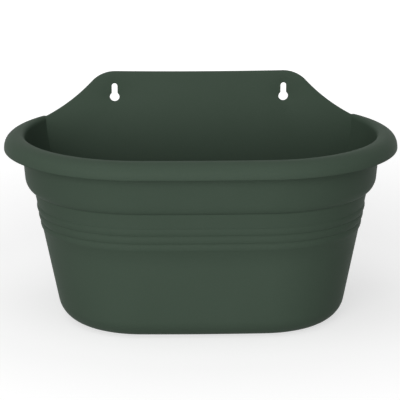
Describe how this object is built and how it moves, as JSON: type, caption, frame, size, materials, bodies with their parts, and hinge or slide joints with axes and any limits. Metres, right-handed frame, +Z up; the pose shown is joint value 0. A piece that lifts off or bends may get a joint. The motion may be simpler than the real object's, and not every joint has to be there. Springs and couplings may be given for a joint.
{
  "type": "feed bucket",
  "caption": "Wall-hung half-oval feed bucket in dark green plastic, with a tall back plate, keyhole slots, rolled rim, ribbed collar band and a rubber drain bung.",
  "frame": {"origin": "middle of the lower edge of the flat back, where the back face meets the base", "axes": "+Z up, +Y into the wall out of the back face, -Y towards the bowed front, +X to the right as the front is faced"},
  "size_m": [0.3, 0.1601, 0.1755],
  "materials": {
    "shell_plastic": "dark green moulded plastic with a fine matt grain",
    "bung_rubber": "black moulded rubber, matt"
  },
  "bodies": {
    "bucket": {"bucket_shell": "shell_plastic"},
    "bung": {"drain_bung": "bung_rubber"}
  },
  "joints": [
    {"name": "bung_lift", "type": "slide", "parent": "bucket", "child": "bung", "axis": [0, 0, 1], "range_m": [0, 0.19]}
  ]
}
